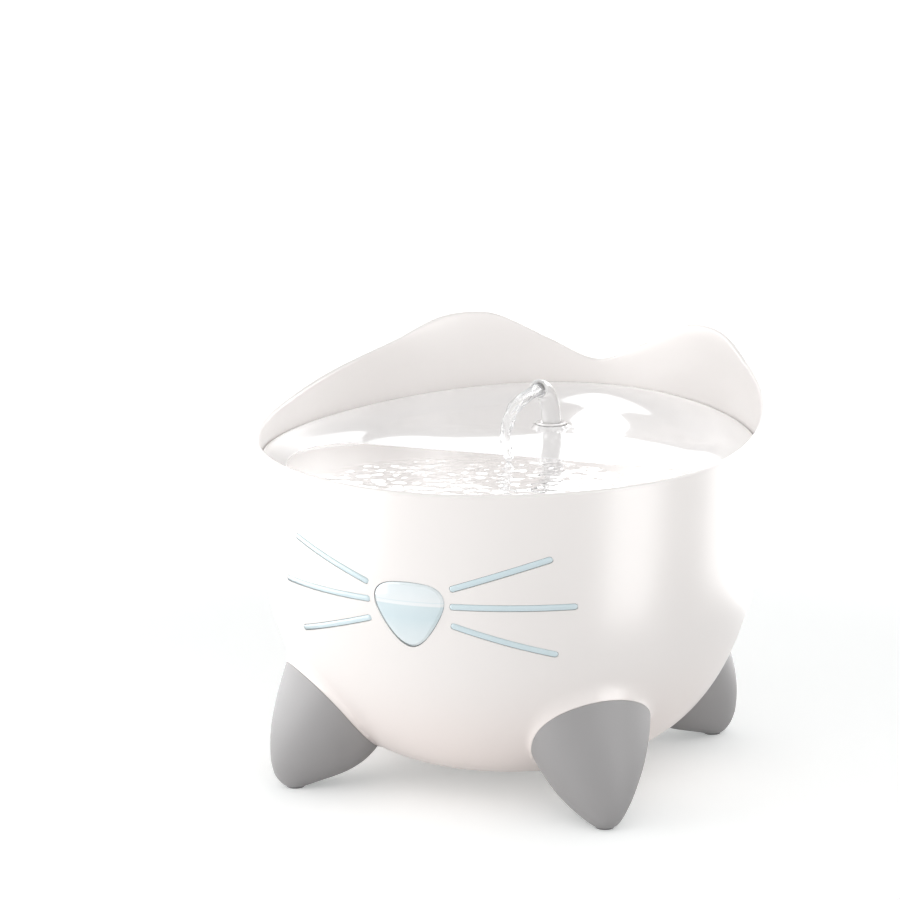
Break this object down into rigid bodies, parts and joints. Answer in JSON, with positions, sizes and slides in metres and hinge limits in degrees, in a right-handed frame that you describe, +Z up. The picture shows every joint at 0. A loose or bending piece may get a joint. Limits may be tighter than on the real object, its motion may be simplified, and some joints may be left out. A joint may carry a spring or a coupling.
{
  "type": "pet_water_fountain",
  "caption": "Round white pet water fountain with a cat-eared rim, lift-out tray with swivelling spout, nose light, four grey feet, filter unit and submersible pump",
  "frame": {"origin": "on the floor, on the bowl's vertical axis, in the plane of the four pads' undersides", "axes": "+Z up; -Y is the way the face looks; +X is the right side for someone who looks at the face"},
  "size_m": [0.242, 0.242, 0.202],
  "materials": {
    "shell_white": "white gloss moulded plastic",
    "tray_white": "white gloss moulded plastic",
    "foot_grey": "mid grey satin plastic",
    "pad_rubber": "soft dark rubber",
    "screw_steel": "stainless steel",
    "window_blue": "pale blue translucent plastic",
    "board_green": "green solder mask",
    "led_lens": "yellowish clear resin",
    "inner_white": "white moulded plastic",
    "clear_plastic": "frosted clear plastic",
    "lead_white": "white soft vinyl sheath",
    "inlet_black": "black nylon",
    "foam_grey": "open cell foam",
    "cartridge_fibre": "non-woven fibre over carbon grains",
    "pump_grey": "dark grey moulded plastic",
    "copper_coil": "copper winding set in clear resin",
    "magnet_black": "black sintered ferrite",
    "ceramic_shaft": "polished ceramic",
    "bush_black": "black rubber"
  },
  "bodies": {
    "base": {"body_shell": "shell_white", "foot_front_left": "foot_grey", "foot_front_right": "foot_grey", "foot_rear_left": "foot_grey", "foot_rear_right": "foot_grey", "foot_pads": "pad_rubber", "foot_screws": "screw_steel", "nose_window": "window_blue", "whisker_left_upper": "window_blue", "whisker_left_middle": "window_blue", "whisker_left_lower": "window_blue", "whisker_right_upper": "window_blue", "whisker_right_middle": "window_blue", "whisker_right_lower": "window_blue", "light_board": "board_green", "light_leds": "led_lens", "light_gasket": "pad_rubber", "light_cover": "inner_white", "light_cover_screws": "screw_steel", "light_lead": "lead_white", "power_inlet": "inlet_black", "inlet_pin": "screw_steel", "inlet_seal": "pad_rubber", "inlet_nut": "screw_steel", "riser_tube": "clear_plastic", "pump_well": "inner_white", "pump_housing": "pump_grey", "pump_end_cap": "pump_grey", "stator_coil": "copper_coil", "impeller_shaft": "ceramic_shaft", "shaft_bush_front": "bush_black", "shaft_bush_rear": "bush_black", "pump_cover": "pump_grey", "suction_cups": "pad_rubber", "pump_lead": "lead_white"},
    "tray": {"drinking_tray": "tray_white", "tray_socket": "tray_white", "spout_collar": "tray_white"},
    "swivel_spout": {"spout": "clear_plastic"},
    "filter_unit": {"filter_basket": "clear_plastic", "filter_foam": "foam_grey", "filter_cartridge": "cartridge_fibre", "filter_lid": "inner_white"},
    "rotor": {"rotor_magnet": "magnet_black", "impeller": "inner_white"},
    "regulator": {"flow_regulator": "inner_white"}
  },
  "joints": [
    {"name": "tray_lift", "type": "slide", "parent": "base", "child": "tray", "axis": [0, 0, 1], "range_m": [0, 0.12]},
    {"name": "spout_swivel", "type": "hinge", "parent": "tray", "child": "swivel_spout", "pos_m": [0, 0.054, 0.158], "axis": [0, 0, 1], "range_deg": [-35, 35]},
    {"name": "filter_lift", "type": "slide", "parent": "base", "child": "filter_unit", "axis": [0, 0, 1], "range_m": [0, 0.04]},
    {"name": "impeller_spin", "type": "hinge", "parent": "base", "child": "rotor", "pos_m": [0, 0.054, 0.039], "axis": [0, 1, 0], "continuous": true},
    {"name": "flow_adjust", "type": "slide", "parent": "base", "child": "regulator", "axis": [0, 0, 1], "range_m": [0, 0.006]}
  ]
}
